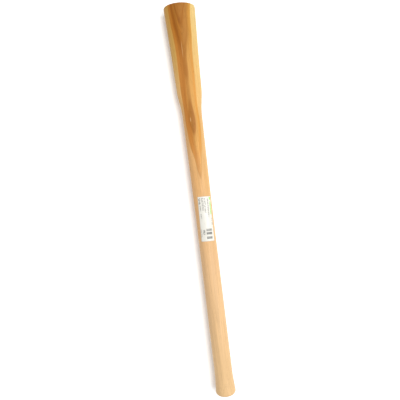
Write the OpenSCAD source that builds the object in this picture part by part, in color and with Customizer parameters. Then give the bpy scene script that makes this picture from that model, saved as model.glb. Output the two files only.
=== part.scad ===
// Slip-fit wooden handle for a long two-handed striking tool, with its paper label.
//
// The handle lies on one of its broad sides. The origin is the centre of the head-end
// face, the handle runs from there along -X to the butt, its broad sides face +Z and
// -Z, and its width runs along Y. Every section across it is an oval.
// Distances called x below are measured from the head end towards the butt.

/* [Overall] */
// Length from the head-end face to the butt, a nominal 36 inches
overall_l = 914; // [880:1:940]

/* [Eye] */
// Width of the eye at the head end, for a head with a 3 inch oval hole
eye_w = 76.6; // [72:0.1:80]
// Depth of the eye at the head end
eye_d = 48; // [44:0.5:52]
// Length of the tapered eye, from the head end to the shoulder
eye_l = 200; // [180:1:220]
// Width of the eye where the shoulder starts
eye_foot_w = 60.4; // [56:0.1:64]
// Depth of the eye where the shoulder starts
eye_foot_d = 41; // [39:0.5:44]
// How much narrower than a straight taper the eye is halfway down
eye_waist = 1.2; // [0:0.1:3]
// Bevel around the rim of the head-end face
rim_bevel = 1; // [0.5:0.1:2]

/* [Neck and grip] */
// Length of the shoulder, which blends the eye into the neck
shoulder_l = 62; // [40:1:80]
// Width of the neck at the foot of the shoulder
throat_w = 47; // [45:0.1:50]
// Depth of the neck at the foot of the shoulder
throat_d = 39.4; // [38:0.1:42]
// Length over which the neck thins down to the grip
neck_l = 240; // [150:1:300]
// Width of the grip
grip_w = 41.7; // [38:0.1:44]
// Depth of the grip
grip_d = 37.2; // [34:0.1:40]

/* [Butt] */
// Width and depth of the flared butt before its end is rounded
butt_w = 48; // [44:0.1:50]
// Length of the flare
flare_l = 46; // [30:1:60]
// Radius of the rounding around the butt's end
butt_round = 6; // [3:0.5:8]

/* [Label] */
// Length of the label along the handle
label_l = 103.5; // [80:0.5:120]
// Width of the label around the grip
label_w = 32; // [20:0.5:36]
// Thickness of the label's paper
label_t = 0.2; // [0.15:0.05:0.4]
// Distance from the head end to the middle of the label
label_x = 507.4; // [440:0.1:640]
// Turn of the label around the handle, in degrees from the top towards -Y
label_turn = 4; // [-30:1:30]
// How far the label is stuck on askew, in degrees
label_skew = 2; // [-5:0.5:5]

/* [Hidden] */

// Flats around each section, one of them level at the top and one at the bottom, and
// rings along each stretch of the handle
sides = 64;
eye_rings = 11;
shoulder_rings = 12;
neck_rings = 11;
grip_rings = 14;
flare_rings = 9;
round_rings = 7;

// Cells of the label along the handle and around it
label_rows = 20;
label_cols = 24;
// Film of adhesive between the label and the wood
glue_t = 0.03;

// How sharply the neck thins at first, and how late the butt flares
neck_power = 1.2;
flare_power = 1.5;

// Where each stretch ends
shoulder_end = eye_l + shoulder_l;
neck_end = shoulder_end + neck_l;
flare_start = overall_l - flare_l;
round_start = overall_l - butt_round;

// Radius that the label bends to, nearly that of the grip's broad side
label_r = (3 * grip_w + grip_d) / 8;

function mix(a, b, u) = a + (b - a) * u;
function clamp01(u) = min(1, max(0, u));
function smooth(u) = let (v = clamp01(u)) v * v * (3 - 2 * v);

// Half of the handle's width or depth at x, from its size at the head end, at the foot
// of the eye, at the throat, along the grip and at the butt
function half_size(x, head, foot, throat, grip) =
    let (
        u = x / eye_l,
        eye = mix(head, foot, u) - 4 * eye_waist * u * (1 - u),
        thinning = pow(clamp01((neck_end - x) / neck_l), neck_power),
        shaft = mix(grip, throat, thinning),
        flare = (butt_w - grip) * pow(clamp01((x - flare_start) / flare_l), flare_power)
    )
    (mix(eye, shaft, smooth((x - eye_l) / shoulder_l)) + flare) / 2;

function half_w(x) = half_size(x, eye_w, eye_foot_w, throat_w, grip_w);
function half_d(x) = half_size(x, eye_d, eye_foot_d, throat_d, grip_d);

// count values of x after a start, the last one at the end
function steps(start, end, count) = [for (i = [1:count]) mix(start, end, i / count)];

// Each ring of the handle as [x, how far it is drawn in from the full section]
head_rings = [[0, rim_bevel], [rim_bevel, 0]];
side_rings = [
    for (x = concat(
        steps(rim_bevel, eye_l, eye_rings),
        steps(eye_l, shoulder_end, shoulder_rings),
        steps(shoulder_end, neck_end, neck_rings),
        steps(neck_end, flare_start, grip_rings),
        steps(flare_start, round_start, flare_rings)
    )) [x, 0]
];
butt_rings = [
    for (a = steps(0, 90, round_rings))
        [round_start + butt_round * sin(a), butt_round * (1 - cos(a))]
];
rings = concat(head_rings, side_rings, butt_rings);

// One oval section of the handle
function ring_points(x, inset) = [
    for (j = [0:sides - 1])
        let (a = 360 * (j + 0.5) / sides)
        [-x, (half_w(x) - inset) * cos(a), (half_d(x) - inset) * sin(a)]
];

// A point of the label, from u and v, which run from -0.5 to 0.5 along and across it,
// and its height over the wood
function label_point(u, v, height) =
    let (
        along = u * label_l * cos(label_skew) + v * label_w * sin(label_skew),
        around = v * label_w * cos(label_skew) - u * label_l * sin(label_skew),
        x = label_x + along,
        a = label_turn + around / label_r * 180 / PI,
        w = half_w(x),
        d = half_d(x),
        out_y = sin(a) / w,
        out_z = cos(a) / d,
        out = height / norm([out_y, out_z])
    )
    [-x, -w * sin(a) - out_y * out, d * cos(a) + out_z * out];

module handle() {
    points = [for (ring = rings) each ring_points(ring[0], ring[1])];
    last = len(rings) - 1;
    head_face = [for (j = [0:sides - 1]) sides - 1 - j];
    butt_face = [for (j = [0:sides - 1]) last * sides + j];
    side_faces = [
        for (i = [0:last - 1], j = [0:sides - 1])
            let (k = (j + 1) % sides)
            each [
                [i * sides + j, i * sides + k, (i + 1) * sides + k],
                [i * sides + j, (i + 1) * sides + k, (i + 1) * sides + j]
            ]
    ];
    color("burlywood")
        polyhedron(points, concat([head_face, butt_face], side_faces), convexity = 4);
}

module label() {
    cols = label_cols + 1;
    layer = (label_rows + 1) * cols;
    points = [
        for (height = [glue_t, glue_t + label_t], i = [0:label_rows], j = [0:label_cols])
            label_point(i / label_rows - 0.5, j / label_cols - 0.5, height)
    ];
    // The two broad faces, the lower one wound the other way round
    broad_faces = [
        for (i = [0:label_rows - 1], j = [0:label_cols - 1])
            let (a = i * cols + j, b = a + 1, c = a + cols + 1, d = a + cols)
            each [
                [a, b, c],
                [a, c, d],
                [layer + a, layer + c, layer + b],
                [layer + a, layer + d, layer + c]
            ]
    ];
    // The outline of the lower face, in order, and the strip of faces that it carries
    outline = concat(
        [for (j = [0:label_cols - 1]) j],
        [for (i = [0:label_rows - 1]) i * cols + label_cols],
        [for (j = [0:label_cols - 1]) layer - 1 - j],
        [for (i = [0:label_rows - 1]) (label_rows - i) * cols]
    );
    edge_faces = [
        for (i = [0:len(outline) - 1])
            let (a = outline[i], b = outline[(i + 1) % len(outline)])
            each [[b, a, layer + a], [b, layer + a, layer + b]]
    ];
    color("white")
        polyhedron(points, concat(broad_faces, edge_faces), convexity = 4);
}

handle();
label();
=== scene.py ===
# %% [markdown]
# # A slip-fit hardwood handle
#
# The object is the wooden handle of a two-handed striking tool. One piece of hardwood is turned
# on a copying lathe and sanded, and a paper label is stuck to its grip. The CAD model gives both
# pieces at their real size, and this lesson gives them their looks: a smooth turned surface, wood
# whose heartwood and sapwood run right through it, and printed paper. Everything is in metres.
# The head end is at the origin, and the handle runs from there along -X and lies on its side,
# with +Z up.

# %% Load the frame
import math

import bmesh
import bpy
from mathutils import Matrix, Vector, noise


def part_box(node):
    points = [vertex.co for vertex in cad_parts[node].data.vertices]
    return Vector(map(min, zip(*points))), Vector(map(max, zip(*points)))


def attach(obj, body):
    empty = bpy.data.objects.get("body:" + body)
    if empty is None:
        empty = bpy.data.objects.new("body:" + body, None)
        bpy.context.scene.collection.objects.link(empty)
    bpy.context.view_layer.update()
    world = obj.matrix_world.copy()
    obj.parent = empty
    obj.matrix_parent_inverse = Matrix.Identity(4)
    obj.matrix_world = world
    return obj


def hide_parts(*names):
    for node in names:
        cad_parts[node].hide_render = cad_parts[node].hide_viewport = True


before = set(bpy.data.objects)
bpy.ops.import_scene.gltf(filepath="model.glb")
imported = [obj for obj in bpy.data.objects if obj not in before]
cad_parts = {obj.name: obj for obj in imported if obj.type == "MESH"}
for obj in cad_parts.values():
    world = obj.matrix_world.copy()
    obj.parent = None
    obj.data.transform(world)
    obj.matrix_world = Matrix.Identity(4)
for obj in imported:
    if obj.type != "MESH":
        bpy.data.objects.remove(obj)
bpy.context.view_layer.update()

MM = 0.001
handle_low, handle_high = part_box("handle")
handle_length = handle_high.x - handle_low.x
handle_width = handle_high.y - handle_low.y
print("handle", round(handle_length / MM), "mm long,", round(handle_width / MM, 1), "mm wide")

# %% [markdown]
# ## The camera
#
# The handle is looked at from about three quarters of a metre above it, with its head end at the
# top of the view and the whole of it leaning seven degrees. A camera can be turned with angles,
# but its three axes are easier to reason about: it looks from one point to another, and then
# rolls about that line of sight.

# %% Camera
VIEW_ANGLE = math.radians(62.7)
CAMERA_ROLL = math.radians(-6.94)
camera_spot = Vector((-0.481, 0.079, 0.771))
camera_aim = Vector((-0.4622, 0.0060, 0.0))

sight = (camera_aim - camera_spot).normalized()
right = sight.cross(Vector((1, 0, 0))).normalized()
up = right.cross(sight)
roll = Matrix.Rotation(-CAMERA_ROLL, 3, sight)
right, up = roll @ right, roll @ up
turn = Matrix((right, up, -sight)).transposed().to_4x4()

camera_data = bpy.data.cameras.new("camera")
camera_data.sensor_width = 36
camera_data.angle = VIEW_ANGLE
camera = bpy.data.objects.new("camera", camera_data)
camera.matrix_world = Matrix.Translation(camera_spot) @ turn
bpy.context.scene.collection.objects.link(camera)
bpy.context.scene.camera = camera
print("camera", [round(c, 3) for c in camera_spot], "lens", round(camera_data.lens, 1), "mm")

# %% [markdown]
# ## Helpers for materials
#
# Colours are written as the hex values that a paint program shows, and one function turns them
# into the linear values that a shader wants. A second one adds a node, sets it up and links it,
# so that each line of a material below says one thing that the material does.

# %% Colour helper
def linear(hex_colour):
    """The linear colour, with alpha 1, of an sRGB hex value such as "#E0B070"."""
    channels = [int(hex_colour[i : i + 2], 16) / 255 for i in (1, 3, 5)]
    return [c / 12.92 if c <= 0.04045 else ((c + 0.055) / 1.055) ** 2.4 for c in channels] + [1]


print("middle grey #808080 is", round(linear("#808080")[0], 3), "in linear light")

# %% Node helpers
# A Mix node has number, vector and colour sockets with the same names, so its colour ones are
# called by their numbers.
MIX_A, MIX_B, MIX_OUT = 6, 7, 2


def add(tree, kind, inputs=None, stops=None, points=None, **settings):
    """A new node with these settings.

    inputs holds values, or sockets to link, by the socket's name or number. stops are the places
    and colours of a colour ramp, and points the places of a curve.
    """
    node = tree.nodes.new("ShaderNode" + kind)
    for name, value in settings.items():
        setattr(node, name, value)
    for key, value in (inputs or {}).items():
        if isinstance(value, bpy.types.NodeSocket):
            tree.links.new(value, node.inputs[key])
        else:
            node.inputs[key].default_value = value
    if stops:
        ramp = node.color_ramp
        while len(ramp.elements) < len(stops):
            ramp.elements.new(1)
        for element, (place, colour) in zip(ramp.elements, stops):
            element.position = place
            element.color = linear(colour)
    if points:
        curve = node.mapping.curves[0]
        while len(curve.points) < len(points):
            curve.points.new(1, 1)
        for point, place in zip(curve.points, points):
            point.location = place
        node.mapping.update()
    return node


def new_material(name):
    """A new material, with its node tree and its Principled shader."""
    material = bpy.data.materials.new(name)
    material.use_nodes = True
    return material, material.node_tree, material.node_tree.nodes["Principled BSDF"]


print("a Mix node mixes colours through its sockets", MIX_A, "and", MIX_B)

# %% [markdown]
# ## The studio
#
# A turned piece shows its roundness only if one side is brighter than the other. A wide soft
# light hangs high on the right of the view, the room adds an even glow, and a pale floor sends
# some light back up under the sides.

# %% Floor
FLOOR_SIZE = 8.0
# A product table is often lit from below too, which keeps the shadow beside a round object pale.
FLOOR_GLOW = 0.14
floor_mesh = bpy.data.meshes.new("floor")
bm = bmesh.new()
bmesh.ops.create_grid(bm, x_segments=4, y_segments=4, size=FLOOR_SIZE / 2)
under_handle = ((handle_low.x + handle_high.x) / 2, 0, handle_low.z)
bmesh.ops.translate(bm, verts=bm.verts, vec=under_handle)
bm.to_mesh(floor_mesh)
bm.free()
floor = bpy.data.objects.new("floor", floor_mesh)
bpy.context.scene.collection.objects.link(floor)

# Matt white board has almost no gloss, so the eye finds nothing on it but a soft shadow.
floor_material, _, floor_shader = new_material("matt_white_board")
floor_shader.inputs["Base Color"].default_value = linear("#FAFAF9")
floor_shader.inputs["Roughness"].default_value = 0.9
floor_shader.inputs["Specular IOR Level"].default_value = 0.1
floor_shader.inputs["Emission Color"].default_value = linear("#FFFFFF")
floor_shader.inputs["Emission Strength"].default_value = FLOOR_GLOW
floor_mesh.materials.append(floor_material)
print("floor at z =", round(handle_low.z / MM, 2), "mm")

# %% Lights
KEY_POWER = 34
KEY_SIZE = (1.6, 1.2)
KEY_DISTANCE = 1.8
KEY_HEIGHT_ANGLE = math.radians(68.5)
ROOM_GLOW = 0.60

key_data = bpy.data.lights.new("key_light", "AREA")
key_data.shape = "RECTANGLE"
key_data.size, key_data.size_y = KEY_SIZE
key_data.energy = KEY_POWER
key = bpy.data.objects.new("key_light", key_data)
middle = Vector((handle_low.x / 2, 0, 0))
key_way = Vector((0, -math.cos(KEY_HEIGHT_ANGLE), math.sin(KEY_HEIGHT_ANGLE)))
key.location = middle + KEY_DISTANCE * key_way
key.rotation_euler = key_way.to_track_quat("Z", "Y").to_euler()
bpy.context.scene.collection.objects.link(key)

world = bpy.data.worlds.new("studio")
world.use_nodes = True
room = world.node_tree.nodes["Background"]
room.inputs["Color"].default_value = linear("#FFFFFF")
room.inputs["Strength"].default_value = ROOM_GLOW
bpy.context.scene.world = world
bpy.context.scene.view_settings.view_transform = "Standard"
print("key light", KEY_POWER, "W from", [round(c, 2) for c in key.location])

# %% [markdown]
# ## The turned handle
#
# On the real handle every cut across it is an oval that swells, narrows and flares along its
# length. The CAD node has the right ovals, but its flats would show as facets. So its rings are
# read from it, a circle is scaled to the first one, and each next ring is extruded from the last.
# A Subdivision Surface modifier rounds that cage. Extra rings close to the rims hold their edges,
# and small cones at both ends are the marks of the lathe's centres.

# %% Ovals of the handle, from the CAD node
def ovals_of(node):
    """(x, half width, half depth) of each ring of a CAD node, from the head end to the butt."""
    sizes = {}
    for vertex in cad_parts[node].data.vertices:
        x = round(vertex.co.x, 5)
        half_w, half_d = sizes.get(x, (0, 0))
        sizes[x] = (max(half_w, abs(vertex.co.y)), max(half_d, abs(vertex.co.z)))
    return [(x, *sizes[x]) for x in sorted(sizes, reverse=True)]


ovals = ovals_of("handle")
print(len(ovals), "ovals, the first", [round(size / MM, 2) for size in ovals[0]])

# %% Rings of the two ends
# Radius and depth of the rings of a centre hole, from its bottom to its mouth.
CENTRE_HOLE = [(0.3 * MM, 3.0 * MM), (2.0 * MM, 0.6 * MM), (2.5 * MM, 0.1 * MM)]
HOLE_RIM_R = 3.5 * MM
# Rings across the end face, as shares of its size, and the distance from the rim of the last one.
FACE_RINGS = (0.35, 0.65, 0.88)
EDGE_HOLD = 0.7 * MM


def end_rings(x, half_w, half_d, inwards):
    """Rings of a flat end face at x, from the bottom of its centre hole out to its rim."""
    rings = [(x + inwards * depth, radius, radius) for radius, depth in CENTRE_HOLE]
    rings += [(x, HOLE_RIM_R, HOLE_RIM_R)]
    rings += [(x, share * half_w, share * half_d) for share in FACE_RINGS]
    return rings + [(x, half_w - EDGE_HOLD, half_d - EDGE_HOLD)]


outline = end_rings(*ovals[0], -1) + ovals + end_rings(*ovals[-1], 1)[::-1]
print(len(outline), "rings with the two end faces")

# %% Loft the handle
SIDES = 48


def ring_matrix(x, half_w, half_d):
    """Takes a unit circle in XY to an oval across the handle at x."""
    return Matrix(((0, 0, 1, x), (half_w, 0, 0, 0), (0, half_d, 0, 0), (0, 0, 0, 1)))


bm = bmesh.new()
bmesh.ops.create_circle(bm, segments=SIDES, radius=1, cap_ends=True)
bmesh.ops.transform(bm, verts=bm.verts, matrix=ring_matrix(*outline[0]))
edges = bm.edges[:]
for last_ring, ring in zip(outline, outline[1:]):
    grown = bmesh.ops.extrude_edge_only(bm, edges=edges)["geom"]
    verts = [part for part in grown if isinstance(part, bmesh.types.BMVert)]
    edges = [part for part in grown if isinstance(part, bmesh.types.BMEdge) and part.is_boundary]
    to_next = ring_matrix(*ring) @ ring_matrix(*last_ring).inverted()
    bmesh.ops.transform(bm, verts=verts, matrix=to_next)
bmesh.ops.contextual_create(bm, geom=edges)
print("loft of", len(bm.verts), "points")

# %% Sand it and finish the mesh
WOBBLE = 0.12 * MM
WOBBLE_LENGTH = 90 * MM
CENTRE_KEPT_R = 5 * MM

# Sanding leaves very slight hollows. They only ever take wood away, and they keep off the
# centre holes.
for vert in bm.verts:
    worn = WOBBLE * (0.5 + 0.5 * noise.noise(vert.co / WOBBLE_LENGTH))
    radius = math.hypot(vert.co.y, vert.co.z)
    if radius > CENTRE_KEPT_R:
        vert.co.y *= 1 - worn / radius
        vert.co.z *= 1 - worn / radius
bmesh.ops.recalc_face_normals(bm, faces=bm.faces)
for face in bm.faces:
    face.smooth = True

wood_mesh = bpy.data.meshes.new("turned_handle")
bm.to_mesh(wood_mesh)
bm.free()
wooden_handle = bpy.data.objects.new("turned_handle", wood_mesh)
bpy.context.scene.collection.objects.link(wooden_handle)
rounding = wooden_handle.modifiers.new("rounding", "SUBSURF")
rounding.levels = rounding.render_levels = 2
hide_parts("handle")
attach(wooden_handle, "root")
print("cage of", len(wood_mesh.polygons), "faces, rounded twice")

# %% [markdown]
# ## The wood
#
# The handle is hickory, sawn so that the heart of the tree lay a few centimetres above its top
# side. Every year's ring is a tube around that heart, so the saw and the lathe cut the rings into
# long nested tongues. The brown tongue is heartwood, and the cream around it is sapwood. A flat
# pattern wrapped round the handle would never line up on its ends and sides, so the material is
# solid: it works out how far each point is from the tree's heart, and colours the wood by that.

# %% Where the heart of the tree runs
# (way along the handle, height over the handle's axis and place to its +Y side, in millimetres).
# The line is bent so that the tongues of the figure end where they should.
heart_line = [
    (0.000, 60.0, 3.0),
    (0.030, 61.5, 6.0),
    (0.055, 62.0, 6.0),
    (0.080, 63.0, 4.5),
    (0.125, 64.5, 5.5),
    (0.180, 64.0, 7.0),
    (0.210, 64.0, 8.0),
    (0.240, 63.5, 9.0),
    (0.265, 62.5, 9.5),
    (0.300, 61.5, 7.5),
    (0.330, 62.5, 5.5),
    (0.355, 64.0, 5.0),
    (0.375, 65.5, 3.5),
    (0.395, 68.0, 1.0),
    (0.430, 69.5, -1.5),
    (0.460, 70.5, -1.5),
    (0.650, 74.0, 0.0),
    (1.000, 78.0, 1.0),
]
print("heart line over", len(heart_line), "points")

# %% A slow wander of the grain
WANDER = 0.5 * MM
WANDER_LENGTH, WANDER_WIDTH = 83.3 * MM, 16.7 * MM

# Hickory, turned and sanded under a thin low-gloss finish: the eye sees warm brown and cream
# stripes along the handle, with a wide and soft shine.
wood, tree, shader = new_material("hickory_wood")
place = add(tree, "TexCoord").outputs["Object"]
cells = [1 / WANDER_LENGTH, 1 / WANDER_WIDTH, 1 / WANDER_WIDTH]
stretched = add(tree, "Mapping", {"Vector": place, "Scale": cells})
drift = add(tree, "TexNoise", {"Vector": stretched.outputs[0], "Scale": 1.0, "Detail": 2.0})
off_middle = {0: drift.outputs["Color"], 1: (0.5, 0.5, 0.5)}
centred = add(tree, "VectorMath", off_middle, operation="SUBTRACT")
wander = add(tree, "VectorMath", {0: centred.outputs[0], "Scale": WANDER}, operation="SCALE")
wandered = add(tree, "VectorMath", {0: place, 1: wander.outputs[0]}, operation="ADD").outputs[0]
print("the grain wanders by up to", WANDER / MM / 2, "mm to each side")

# %% Distance from the heart
CURVE_LOW, CURVE_HIGH = -5, 80


def on_curve(mm):
    """A place in millimetres as a height on a curve node, which runs only from 0 to 1."""
    return (mm - CURVE_LOW) / (CURVE_HIGH - CURVE_LOW)


heights = [(way, on_curve(up_mm)) for way, up_mm, _ in heart_line]
sides = [(way, on_curve(side_mm)) for way, _, side_mm in heart_line]
x = add(tree, "SeparateXYZ", {0: wandered}).outputs["X"]
along = add(
    tree, "Math", {0: x, 1: -1 / handle_length}, operation="MULTIPLY", use_clamp=True
).outputs[0]
height = add(tree, "FloatCurve", {"Value": along}, points=heights)
side = add(tree, "FloatCurve", {"Value": along}, points=sides)
heart = add(tree, "CombineXYZ", {"Y": side.outputs[0], "Z": height.outputs[0]})
# The curves' outputs are stretched and moved back to metres.
span, low = (CURVE_HIGH - CURVE_LOW) * MM, CURVE_LOW * MM
stretch = {0: heart.outputs[0], 1: [0, span, span], 2: [0, low, low]}
heart_m = add(tree, "VectorMath", stretch, operation="MULTIPLY_ADD")
across = add(tree, "VectorMath", {0: wandered, 1: heart_m.outputs[0]}, operation="SUBTRACT")
flat_cut = {0: across.outputs[0], 1: (0, 1, 1)}
from_heart = add(tree, "VectorMath", flat_cut, operation="MULTIPLY")
age = add(tree, "VectorMath", {0: from_heart.outputs[0]}, operation="LENGTH").outputs["Value"]
to_side = add(tree, "SeparateXYZ", {0: from_heart.outputs[0]}).outputs["Y"]
print("curves from", CURVE_LOW, "to", CURVE_HIGH, "mm")

# %% [markdown]
# Heartwood is not one brown. Some years grew darker than others, the wood pales towards the
# sapwood, and the two sides of the heart differ. The left ramps are also partly painted shade:
# the +Y side faces away from the key light, and some of its shade is painted into their colours.
# So four colour ramps give the colour by the distance from the heart: left and right of the heart
# line, at the head end and at the neck. They blend into each other across the core and along the
# handle.

# %% Heartwood
YOUNGEST, OLDEST = 38 * MM, 52 * MM
# Places to the +Y side of the heart between which the left colours turn into the right ones.
CORE_BLEND = (4 * MM, -5 * MM)
# Shares of the length between which the head end's colours turn into the neck's.
NECK_BLEND = (0.05, 0.18)

# (distance from the heart in millimetres, colour)
heart_stops = {
    # Left ramps: the wood's own colour, partly darkened as painted shade of the side away from
    # the light.
    "left at head": [
        (38.5, "#9A6222"),
        (39.6, "#8C5314"),
        (40.3, "#A06621"),
        (41.5, "#9C611C"),
        (43.4, "#8E520E"),
        (44.4, "#8F520F"),
        (47.5, "#AA6B20"),
        (51.5, "#AC7129"),
    ],
    "left at neck": [
        (39.0, "#A56C2F"),
        (43.1, "#A87031"),
        (43.8, "#995C1D"),
        (44.6, "#AC6E2D"),
        (48.0, "#BA7A35"),
        (50.2, "#BB7B36"),
        (51.5, "#C2853F"),
    ],
    "right at head": [
        (38.5, "#A1692A"),
        (39.6, "#985F20"),
        (40.4, "#A56D2C"),
        (42.0, "#A87231"),
        (43.2, "#A66F2D"),
        (45.2, "#AF7931"),
        (49.0, "#C28A3B"),
        (51.0, "#C59246"),
    ],
    "right at neck": [
        (39.0, "#A1692B"),
        (43.6, "#A26A2B"),
        (44.4, "#C08C46"),
        (46.6, "#CB944A"),
        (48.2, "#C88C3F"),
        (50.0, "#C78C43"),
        (51.3, "#CC984F"),
    ],
}


def at(mm):
    """Where a distance from the heart, in millimetres, falls on the colour ramps."""
    return (mm * MM - YOUNGEST) / (OLDEST - YOUNGEST)


age_range = {"Value": age, "From Min": YOUNGEST, "From Max": OLDEST}
age_share = add(tree, "MapRange", age_range).outputs[0]
browns = {}
for name, stops in heart_stops.items():
    places = [(at(mm), colour) for mm, colour in stops]
    browns[name] = add(tree, "ValToRGB", {"Fac": age_share}, stops=places).outputs["Color"]
print(len(browns), "ramps, from", YOUNGEST / MM, "to", OLDEST / MM, "mm from the heart")

# %% Blend the heartwood
to_the_right = add(
    tree,
    "MapRange",
    {"Value": to_side, "From Min": CORE_BLEND[0], "From Max": CORE_BLEND[1]},
    interpolation_type="SMOOTHSTEP",
).outputs[0]
to_the_neck = add(
    tree,
    "MapRange",
    {"Value": along, "From Min": NECK_BLEND[0], "From Max": NECK_BLEND[1]},
    interpolation_type="SMOOTHSTEP",
).outputs[0]
left_heart = add(
    tree,
    "Mix",
    {"Factor": to_the_neck, MIX_A: browns["left at head"], MIX_B: browns["left at neck"]},
    data_type="RGBA",
).outputs[MIX_OUT]
right_heart = add(
    tree,
    "Mix",
    {"Factor": to_the_neck, MIX_A: browns["right at head"], MIX_B: browns["right at neck"]},
    data_type="RGBA",
).outputs[MIX_OUT]
heartwood = add(
    tree,
    "Mix",
    {"Factor": to_the_right, MIX_A: left_heart, MIX_B: right_heart},
    data_type="RGBA",
).outputs[MIX_OUT]
print("the sides blend over", round((CORE_BLEND[0] - CORE_BLEND[1]) / MM, 1), "mm")

# %% [markdown]
# Sapwood is the last wood that the tree grew. It is cream, and it starts at a sharp edge at an
# even distance from the heart. On the neck the heartwood runs out in one last tongue, which is
# paler than the rest and has a fine dark line along its edge.

# %% Sapwood on the two sides
# Sapwood has no core line, so its two sides blend slowly into each other.
SAP_BLEND = (24 * MM, -30 * MM)

# (share of the length, colour)
# The left, +Y side is darker near the head: partly the wood's own tone, partly painted shade.
left_stops = [
    (0.00, "#B98A40"),
    (0.13, "#C3984E"),
    (0.21, "#D4A765"),
    (0.30, "#D0A065"),
    (0.45, "#D6A46B"),
    (0.68, "#D2AB7E"),
    (1.00, "#D6B282"),
]
right_stops = [
    (0.00, "#D5B673"),
    (0.20, "#D3AB6A"),
    (0.30, "#D0A468"),
    (0.45, "#D1A66D"),
    (0.68, "#D2AB7E"),
    (1.00, "#D6B282"),
]
left_sapwood = add(tree, "ValToRGB", {"Fac": along}, stops=left_stops)
right_sapwood = add(tree, "ValToRGB", {"Fac": along}, stops=right_stops)
slowly_right = add(
    tree,
    "MapRange",
    {"Value": to_side, "From Min": SAP_BLEND[0], "From Max": SAP_BLEND[1]},
    interpolation_type="SMOOTHSTEP",
).outputs[0]
sap_sides = {MIX_A: left_sapwood.outputs["Color"], MIX_B: right_sapwood.outputs["Color"]}
sapwood = add(
    tree, "Mix", {"Factor": slowly_right, **sap_sides}, data_type="RGBA"
).outputs[MIX_OUT]
print("sapwood ramps of", len(left_stops), "and", len(right_stops), "colours")

# %% Edge of the heartwood
HEART_EDGE = 51.3 * MM
HEART_EDGE_BLUR = 0.6 * MM
# The last tongue pales between these shares of the length, by this much.
TONGUE_PALES = (0.33, 0.46)
TONGUE_PALENESS = 0.45

edge_low, edge_high = HEART_EDGE - HEART_EDGE_BLUR, HEART_EDGE + HEART_EDGE_BLUR
outside = add(
    tree,
    "MapRange",
    {"Value": age, "From Min": edge_low, "From Max": edge_high},
    interpolation_type="SMOOTHSTEP",
).outputs[0]
pales = {"From Min": TONGUE_PALES[0], "From Max": TONGUE_PALES[1], "To Max": TONGUE_PALENESS}
run_out = add(
    tree, "MapRange", {"Value": along, **pales}, interpolation_type="SMOOTHSTEP"
).outputs[0]
pale_share = add(tree, "Math", {0: outside, 1: run_out}, operation="MAXIMUM").outputs[0]
grown_colour = add(
    tree,
    "Mix",
    {"Factor": pale_share, MIX_A: heartwood, MIX_B: sapwood},
    data_type="RGBA",
).outputs[MIX_OUT]
print("sapwood starts", HEART_EDGE / MM, "mm from the heart")

# %% Dark line along the last tongue
TONGUE_LINE = (0.26, 0.36)
# The product below peaks at a quarter, so the line is up to 15% darker than the wood beside it.
LINE_DARKNESS = 0.60

inside = add(tree, "Math", {0: 1.0, 1: outside}, operation="SUBTRACT").outputs[0]
edge_line = add(tree, "Math", {0: inside, 1: outside}, operation="MULTIPLY").outputs[0]
line_range = {"From Min": TONGUE_LINE[0], "From Max": TONGUE_LINE[1], "To Max": -LINE_DARKNESS}
by_the_tongue = add(
    tree, "MapRange", {"Value": along, **line_range}, interpolation_type="SMOOTHSTEP"
).outputs[0]
line_light = add(
    tree, "Math", {0: edge_line, 1: by_the_tongue, 2: 1.0}, operation="MULTIPLY_ADD"
).outputs[0]
print("the line fades in over", TONGUE_LINE, "of the length")

# %% [markdown]
# Close to, the colour breaks up. Each year's ring starts with a band of open pores, which a cut
# along the wood leaves as short dark dashes, and ends in dense smooth wood. Fibres run along the
# handle as fine pale and dark streaks, and broader bands come from how the tree grew. The rings
# are drawn 1.6 mm apart, close to real ones. The rest is noise that is stretched along X. Real
# pores are about 0.3 mm across and real fibres are finer still, too fine to show from here. So
# the pores are drawn 0.5 mm wide, and the fibres as bundles 1.3 mm wide.

# %% Year rings
RING = 1.6 * MM
# Rings are uneven. Their count runs ahead by up to this many, and how far it does changes about
# every two rings.
RING_DRIFT = 2.2
DRIFTS_PER_RING = 0.45
# Shares of a ring over which its pores close up, and over which its dense late wood sets in.
PORES_CLOSE = (0.45, 0.05)
LATE_STARTS = (0.70, 0.97)

ring_count = add(tree, "Math", {0: age, 1: 1 / RING}, operation="MULTIPLY").outputs[0]
uneven = add(
    tree,
    "TexNoise",
    {"W": ring_count, "Scale": DRIFTS_PER_RING, "Detail": 1.0},
    noise_dimensions="1D",
).outputs[0]
ring_phase = add(
    tree, "Math", {0: uneven, 1: RING_DRIFT, 2: ring_count}, operation="MULTIPLY_ADD"
).outputs[0]
ring_time = add(tree, "Math", {0: ring_phase}, operation="FRACT").outputs[0]
pore_band = add(
    tree,
    "MapRange",
    {"Value": ring_time, "From Min": PORES_CLOSE[0], "From Max": PORES_CLOSE[1]},
    interpolation_type="SMOOTHSTEP",
).outputs[0]
late_wood = add(
    tree,
    "MapRange",
    {"Value": ring_time, "From Min": LATE_STARTS[0], "From Max": LATE_STARTS[1]},
    interpolation_type="SMOOTHSTEP",
).outputs[0]
print("a year's ring every", RING / MM, "mm or so")

# %% Pores and fibres
# Length and width in millimetres of the streaks, and the detail of their noise.
PORE_STREAKS = (14, 0.5, 1)
FIBRE_STREAKS = (90, 1.3, 3)
BAND_STREAKS = (160, 6, 2)
# The noise turns into a pore between these levels.
PORE_LEVELS = (0.56, 0.66)
# Outside their bands the pores are this much as dark as inside them.
STRAY_PORES = 0.15


def grain_noise(length_mm, width_mm, detail):
    """Noise in streaks of this length along the handle and this width across it."""
    cells = [1 / (size * MM) for size in (length_mm, width_mm, width_mm)]
    streaks = add(tree, "Mapping", {"Vector": wandered, "Scale": cells}).outputs[0]
    return add(tree, "TexNoise", {"Vector": streaks, "Scale": 1.0, "Detail": detail}).outputs[0]


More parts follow.
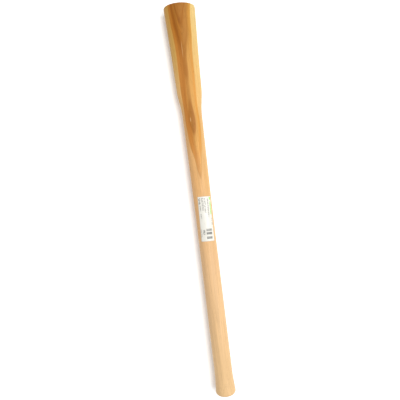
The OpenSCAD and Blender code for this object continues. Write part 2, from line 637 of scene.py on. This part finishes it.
pore_noise = grain_noise(*PORE_STREAKS)
pore_shape = add(
    tree,
    "MapRange",
    {"Value": pore_noise, "From Min": PORE_LEVELS[0], "From Max": PORE_LEVELS[1]},
    interpolation_type="SMOOTHSTEP",
).outputs[0]
stray_range = {0: pore_band, 1: 1 - STRAY_PORES, 2: STRAY_PORES}
sparse = add(tree, "Math", stray_range, operation="MULTIPLY_ADD").outputs[0]
pores = add(tree, "Math", {0: pore_shape, 1: sparse}, operation="MULTIPLY").outputs[0]
print("pores", PORE_STREAKS[1], "mm wide, fibres", FIBRE_STREAKS[1], "mm wide")

# %% Brightness of the grain
# The noise of fibres and bands, and what it does to the brightness.
STREAK_LIGHT = {"From Min": 0.3, "From Max": 0.7, "To Min": 0.93, "To Max": 1.05}
LATE_DARKNESS = 0.07
PORE_DARKNESS = 0.30

fibre_noise = {"Value": grain_noise(*FIBRE_STREAKS)}
fibre_light = add(tree, "MapRange", {**fibre_noise, **STREAK_LIGHT}).outputs[0]
band_noise = {"Value": grain_noise(*BAND_STREAKS)}
band_light = add(tree, "MapRange", {**band_noise, **STREAK_LIGHT}).outputs[0]
late_range = {0: late_wood, 1: -LATE_DARKNESS, 2: 1.0}
late_light = add(tree, "Math", late_range, operation="MULTIPLY_ADD").outputs[0]
pore_range = {0: pores, 1: -PORE_DARKNESS, 2: 1.0}
pore_light = add(tree, "Math", pore_range, operation="MULTIPLY_ADD").outputs[0]
light = fibre_light
for part in (band_light, late_light, pore_light, line_light):
    light = add(tree, "Math", {0: light, 1: part}, operation="MULTIPLY").outputs[0]
print("pores are up to", round(100 * PORE_DARKNESS), "% darker than the wood around them")

# %% [markdown]
# No two handles have the same small marks. This one has a pale fleck on the eye, another on the
# neck, and a dusky patch near the head end. Each is an oval blob that fades out at its edge. A
# Mapping node moves the blob's middle to zero and scales it, so that its edge is at a distance
# of one.

# %% Small marks
# A mark fades in from its edge, at 1, to this distance from its middle.
FULL_MARK = 0.3
# Middle and half size in millimetres, colour and strength of each mark.
marks = [
    ((-111, 7, 22), (28, 1.8, 8), "#D9AD74", 0.30),
    ((-275, 7, 21), (8, 1.7, 8), "#F0CF9C", 0.32),
    ((-42, 6, 24), (13, 4.0, 8), "#7E4A1E", 0.35),
]
marked_colour = grown_colour
for middle_mm, half_mm, colour, strength in marks:
    cells = [1 / (half * MM) for half in half_mm]
    shift = [-centre / half for centre, half in zip(middle_mm, half_mm)]
    mark = add(tree, "Mapping", {"Vector": place, "Location": shift, "Scale": cells})
    reach = add(tree, "VectorMath", {0: mark.outputs[0]}, operation="LENGTH").outputs["Value"]
    share = add(
        tree,
        "MapRange",
        {"Value": reach, "From Min": 1.0, "From Max": FULL_MARK, "To Max": strength},
        interpolation_type="SMOOTHSTEP",
    ).outputs[0]
    blend = {"Factor": share, MIX_A: marked_colour, MIX_B: linear(colour)}
    marked_colour = add(tree, "Mix", blend, data_type="RGBA").outputs[MIX_OUT]
print(len(marks), "small marks")

# %% [markdown]
# The two ends cut straight across the fibres. Open fibre ends drink in the finish, so the ends
# look browner, darker and duller, and the pores of each year's ring crowd into a dark arc. The
# surface normal tells them apart: only the end faces look along X.

# %% End grain
# A surface counts as an end once its normal leans this far towards X.
END_LEAN = (0.45, 0.85)
END_BROWN = "#B07C48"
END_BROWN_SHARE = 0.4
END_DARKNESS = 0.15
ARC_DARKNESS = 0.24

surface = add(tree, "NewGeometry")
facing = add(tree, "SeparateXYZ", {0: surface.outputs["Normal"]}).outputs["X"]
end_on = add(tree, "Math", {0: facing}, operation="ABSOLUTE").outputs[0]
end_grain = add(
    tree,
    "MapRange",
    {"Value": end_on, "From Min": END_LEAN[0], "From Max": END_LEAN[1]},
    interpolation_type="SMOOTHSTEP",
).outputs[0]
arcs = add(tree, "Math", {0: end_grain, 1: pore_band}, operation="MULTIPLY").outputs[0]
for where, darkness in ((end_grain, END_DARKNESS), (arcs, ARC_DARKNESS)):
    end_range = {0: where, 1: -darkness, 2: 1.0}
    end_light = add(tree, "Math", end_range, operation="MULTIPLY_ADD").outputs[0]
    light = add(tree, "Math", {0: light, 1: end_light}, operation="MULTIPLY").outputs[0]

brown_share = {0: end_grain, 1: END_BROWN_SHARE}
end_share = add(tree, "Math", brown_share, operation="MULTIPLY").outputs[0]
blend = {"Factor": end_share, MIX_A: marked_colour, MIX_B: linear(END_BROWN)}
end_colour = add(tree, "Mix", blend, data_type="RGBA").outputs[MIX_OUT]
wood_colour = add(tree, "VectorMath", {0: end_colour, "Scale": light}, operation="SCALE")
tree.links.new(wood_colour.outputs[0], shader.inputs["Base Color"])
print("end grain is", round(100 * END_DARKNESS), "% darker")

# %% [markdown]
# The finish is thin and low in gloss. It follows the wood under it, so the open pores are a
# little sunken and duller than the dense wood between them. Roughness and bump are both driven by
# the same pores as the colour, so that what looks like a pore also catches the light like one.

# %% Finish and relief
SANDED_ROUGHNESS = 0.45
PORE_ROUGHER = 0.20
END_ROUGHER = 0.20
RELIEF = 0.06 * MM

rough_range = {0: pores, 1: PORE_ROUGHER, 2: SANDED_ROUGHNESS}
side_roughness = add(tree, "Math", rough_range, operation="MULTIPLY_ADD").outputs[0]
rough_range = {0: end_grain, 1: END_ROUGHER, 2: side_roughness}
roughness = add(tree, "Math", rough_range, operation="MULTIPLY_ADD").outputs[0]
tree.links.new(roughness, shader.inputs["Roughness"])
shader.inputs["Specular IOR Level"].default_value = 0.2

relief_range = {0: pores, 1: -1.0, 2: fibre_light}
relief = add(tree, "Math", relief_range, operation="MULTIPLY_ADD").outputs[0]
bump = add(tree, "Bump", {"Height": relief, "Strength": 0.5, "Distance": RELIEF})
tree.links.new(bump.outputs[0], shader.inputs["Normal"])
wood_mesh.materials.append(wood)
print("wood material of", len(tree.nodes), "nodes")

# %% [markdown]
# ## The paper label
#
# A self-adhesive label is printed flat, cut out, and wrapped a quarter of the way round the grip,
# a little askew. It is made the same way here: a flat grid keeps the label's own length and width
# as its UV map, each of its points is laid on the wood, and a Solidify modifier gives it the
# thickness of paper.

# %% Where the label lies
LABEL_LENGTH = 103.5 * MM
LABEL_WIDTH = 32 * MM
LABEL_TURN = math.radians(4)
LABEL_SKEW = math.radians(2)
PAPER = 0.16 * MM
GLUE = 0.04 * MM

label_low, label_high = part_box("label")
label_x = (label_low.x + label_high.x) / 2
grip_w, grip_d = min((abs(x - label_x), w, d) for x, w, d in ovals)[1:]
# The label bends to nearly the radius of the grip's broad side.
label_r = (3 * grip_w + grip_d) / 4


def half_sizes(x):
    """Half the width and depth of the handle at x, between the CAD rings on its two sides."""
    for (x0, w0, d0), (x1, w1, d1) in zip(ovals, ovals[1:]):
        if x0 >= x > x1:
            part = (x0 - x) / (x0 - x1)
            return w0 + (w1 - w0) * part, d0 + (d1 - d0) * part
    return ovals[-1][1:]


def on_the_grip(along_label, across_label, lift):
    """A point of the label, from its flat place and its height over the wood."""
    down = along_label * math.cos(LABEL_SKEW) + across_label * math.sin(LABEL_SKEW)
    around = across_label * math.cos(LABEL_SKEW) - along_label * math.sin(LABEL_SKEW)
    angle = LABEL_TURN + around / label_r
    half_w, half_d = half_sizes(label_x - down)
    out = Vector((0, -math.sin(angle) / half_w, math.cos(angle) / half_d)).normalized()
    on_wood = Vector((label_x - down, -half_w * math.sin(angle), half_d * math.cos(angle)))
    return on_wood + out * lift


print("label at x =", round(label_x / MM, 1), "mm, bent to a radius of", round(label_r / MM, 1))

# %% Lay the label on the grip
bm = bmesh.new()
bmesh.ops.create_grid(bm, x_segments=60, y_segments=24, size=0.5)
uv_layer = bm.loops.layers.uv.new("label_uv")
for face in bm.faces:
    face.smooth = True
    for loop in face.loops:
        loop[uv_layer].uv = (loop.vert.co.x + 0.5, loop.vert.co.y + 0.5)
for vert in bm.verts:
    vert.co = on_the_grip(vert.co.x * LABEL_LENGTH, vert.co.y * LABEL_WIDTH, GLUE)
bmesh.ops.recalc_face_normals(bm, faces=bm.faces)
if sum(face.normal.z * face.calc_area() for face in bm.faces) < 0:
    bmesh.ops.reverse_faces(bm, faces=bm.faces)

label_mesh = bpy.data.meshes.new("paper_label")
bm.to_mesh(label_mesh)
bm.free()
paper_label = bpy.data.objects.new("paper_label", label_mesh)
bpy.context.scene.collection.objects.link(paper_label)
thickness = paper_label.modifiers.new("thickness", "SOLIDIFY")
thickness.thickness = PAPER
thickness.offset = 1
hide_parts("label")
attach(paper_label, "root")
print("paper", round(PAPER / MM, 2), "mm thick on", len(label_mesh.polygons), "faces")

# %% [markdown]
# The print is only a pattern on the paper's UV map: U runs down the label and V across it. Real
# wording is not copied. Rows of grey dashes stand for lines of print, and beside them are a block
# of plain stripes, a pale green bar and a green patch. Each block is a rectangle in the list
# below, with the number of rows that it is ruled into.

# %% Printed blocks
# Low and high U, low and high V, ink, rows across the block, dashes or stripes along it, and how
# much of it is inked.
print_blocks = [
    (0.035, 0.17, 0.06, 0.19, "#5B5A55", 3, 16, 0.60),
    (0.20, 0.32, 0.11, 0.18, "#62615C", 2, 14, 0.70),
    (0.36, 0.49, 0.13, 0.20, "#62615C", 2, 15, 0.70),
    (0.03, 0.31, 0.27, 0.42, "#8B8983", 3, 34, 0.66),
    (0.04, 0.37, 0.45, 0.55, "#6F6E68", 2, 40, 0.72),
    (0.05, 0.47, 0.66, 0.76, "#7E7D74", 2, 52, 0.66),
    (0.71, 0.91, 0.03, 0.13, "#A09F97", 2, 24, 0.62),
    (0.74, 0.86, 0.22, 0.36, "#5A5954", 3, 14, 0.75),
    (0.72, 0.96, 0.44, 0.85, "#8E8D86", 1, 46, 0.50),
    (0.74, 0.765, 0.44, 0.85, "#868580", 1, 2, 1.00),
    (0.80, 0.845, 0.44, 0.85, "#74736E", 1, 3, 0.99),
    (0.91, 0.945, 0.44, 0.85, "#807F7A", 1, 3, 0.99),
    (0.49, 0.64, 0.89, 0.97, "#98978D", 1, 18, 0.66),
    (0.12, 0.41, 0.865, 0.98, "#BEDB96", 1, 1, 1.00),
    (0.12, 0.41, 0.88, 0.925, "#86C556", 1, 22, 0.75),
    (0.02, 0.08, 0.84, 0.97, "#93CC60", 1, 1, 1.00),
]
print(len(print_blocks), "blocks of print")

# %% Paper
# Paper fibres are too fine to show from here, so faint clouds of this length stand for them.
# Across the label they are 3.6 mm wide, because V covers less paper than U.
CLOUD_LENGTH = 11.5 * MM
CLOUD_RELIEF = 0.05 * MM

# Smooth printed paper: the eye sees an off-white with a faint sheen, and ink with no thickness.
paper, tree, shader = new_material("printed_paper")
flat = add(tree, "UVMap", uv_map="label_uv").outputs["UV"]
clouds = {"Vector": flat, "Scale": LABEL_LENGTH / CLOUD_LENGTH, "Detail": 4.0}
mottle = add(tree, "TexNoise", clouds).outputs[0]
shades = [(0.3, "#D3D0C6"), (0.7, "#DBD9D0")]
bare_paper = add(tree, "ValToRGB", {"Fac": mottle}, stops=shades).outputs["Color"]
shader.inputs["Roughness"].default_value = 0.38
shader.inputs["Specular IOR Level"].default_value = 0.4
paper_bump = add(tree, "Bump", {"Height": mottle, "Strength": 0.15, "Distance": CLOUD_RELIEF})
tree.links.new(paper_bump.outputs[0], shader.inputs["Normal"])
label_mesh.materials.append(paper)
print("clouds of", CLOUD_LENGTH / MM, "mm in the paper")

# %% Print the blocks
# In a block of several rows, this much of each row's height is inked.
ROW_FILL = 0.68

uv = add(tree, "SeparateXYZ", {0: flat})
u, v = uv.outputs["X"], uv.outputs["Y"]


def in_block(u0, u1, v0, v1):
    """1 inside a rectangle of the label and 0 outside it."""
    within = []
    for socket, low, high in ((u, u0, u1), (v, v0, v1)):
        half = (high - low) / 2
        span = {0: socket, 1: low + half, 2: half}
        within.append(add(tree, "Math", span, operation="COMPARE").outputs[0])
    return add(tree, "Math", {0: within[0], 1: within[1]}, operation="MULTIPLY").outputs[0]


def dashed(mask, u0, u1, v0, v1, rows, dashes, share, seed):
    """The mask broken up into rows of dashes, of which a random share is inked."""
    row_range = {"Value": v, "From Min": v0, "From Max": v1, "To Max": rows}
    row_at = add(tree, "MapRange", row_range).outputs[0]
    dash_range = {"Value": u, "From Min": u0, "From Max": u1, "To Max": dashes}
    dash_at = add(tree, "MapRange", dash_range).outputs[0]
    row = add(tree, "Math", {0: row_at}, operation="FLOOR").outputs[0]
    dash = add(tree, "Math", {0: dash_at}, operation="FLOOR").outputs[0]
    cell = add(tree, "CombineXYZ", {"X": dash, "Y": row, "Z": seed}).outputs[0]
    chance = add(tree, "TexWhiteNoise", {"Vector": cell}).outputs["Value"]
    inked = add(tree, "Math", {0: chance, 1: share}, operation="LESS_THAN").outputs[0]
    mask = add(tree, "Math", {0: mask, 1: inked}, operation="MULTIPLY").outputs[0]
    if rows == 1:
        return mask
    in_row = add(tree, "Math", {0: row_at}, operation="FRACT").outputs[0]
    filled = add(tree, "Math", {0: in_row, 1: ROW_FILL}, operation="LESS_THAN").outputs[0]
    return add(tree, "Math", {0: mask, 1: filled}, operation="MULTIPLY").outputs[0]


printed = bare_paper
for seed, (u0, u1, v0, v1, ink, rows, dashes, share) in enumerate(print_blocks):
    mask = in_block(u0, u1, v0, v1)
    if share < 1:
        mask = dashed(mask, u0, u1, v0, v1, rows, dashes, share, seed)
    blend = {"Factor": mask, MIX_A: printed, MIX_B: linear(ink)}
    printed = add(tree, "Mix", blend, data_type="RGBA").outputs[MIX_OUT]
tree.links.new(printed, shader.inputs["Base Color"])
print("paper material of", len(tree.nodes), "nodes")
